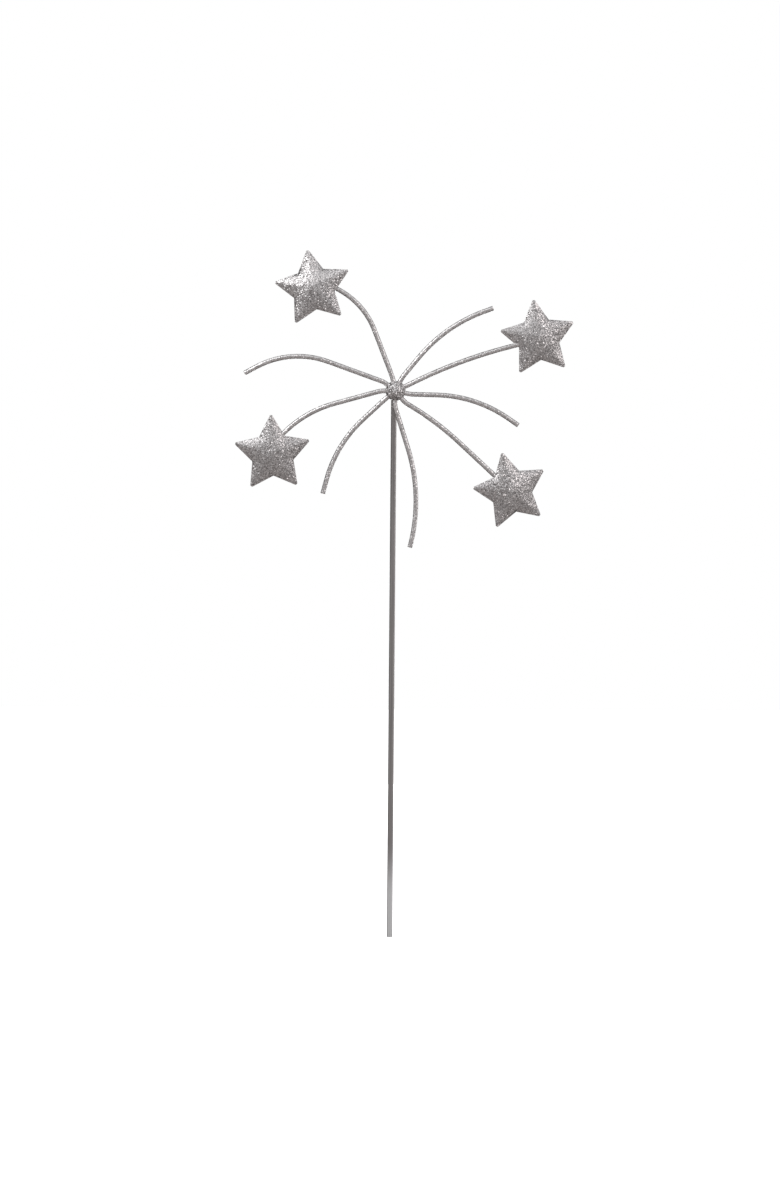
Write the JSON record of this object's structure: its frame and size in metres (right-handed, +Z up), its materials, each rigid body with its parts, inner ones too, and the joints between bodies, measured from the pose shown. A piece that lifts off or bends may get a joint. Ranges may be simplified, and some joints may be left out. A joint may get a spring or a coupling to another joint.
{
  "type": "pinwheel",
  "caption": "Spinning star burst on a thin stake: curved glitter wires fan out from a ball, some ending in puffed stars, and the whole burst turns on a level axle.",
  "frame": {"origin": "centre of the stake's flat bottom end", "axes": "+Z up along the stake, -Y to the front, where the burst and the axle's tip are, +X to the viewer's right"},
  "size_m": [0.299, 0.0272, 0.6077],
  "materials": {
    "stake_paint": "satin silver-grey paint",
    "wire_glitter": "fine silver glitter over wire",
    "star_glitter": "fine silver glitter over a moulded shell",
    "ball_glitter": "coarse silver glitter over a moulded shell",
    "bare_steel": "zinc-plated",
    "bush_plastic": "plain moulded nylon"
  },
  "bodies": {
    "stake": {"stake_rod": "stake_paint"},
    "burst_head": {"ball_front_shell": "ball_glitter", "ball_rear_shell": "ball_glitter", "hub_collar": "bare_steel", "axle_bush": "bush_plastic", "front_washer": "bare_steel", "rear_washer": "bare_steel", "push_nut": "bare_steel", "star_wire_upper_right": "wire_glitter", "plain_wire_upper_right": "wire_glitter", "star_wire_upper_left": "wire_glitter", "plain_wire_left": "wire_glitter", "star_wire_lower_left": "wire_glitter", "plain_wire_lower_left": "wire_glitter", "plain_wire_bottom": "wire_glitter", "star_wire_lower_right": "wire_glitter", "plain_wire_right": "wire_glitter", "star_upper_left_front": "star_glitter", "star_upper_left_back": "star_glitter", "star_upper_right_front": "star_glitter", "star_upper_right_back": "star_glitter", "star_lower_left_front": "star_glitter", "star_lower_left_back": "star_glitter", "star_lower_right_front": "star_glitter", "star_lower_right_back": "star_glitter"}
  },
  "joints": [
    {"name": "burst_spin", "type": "hinge", "parent": "stake", "child": "burst_head", "pos_m": [0, -0.016, 0.4845], "axis": [0, -1, 0], "continuous": true}
  ]
}
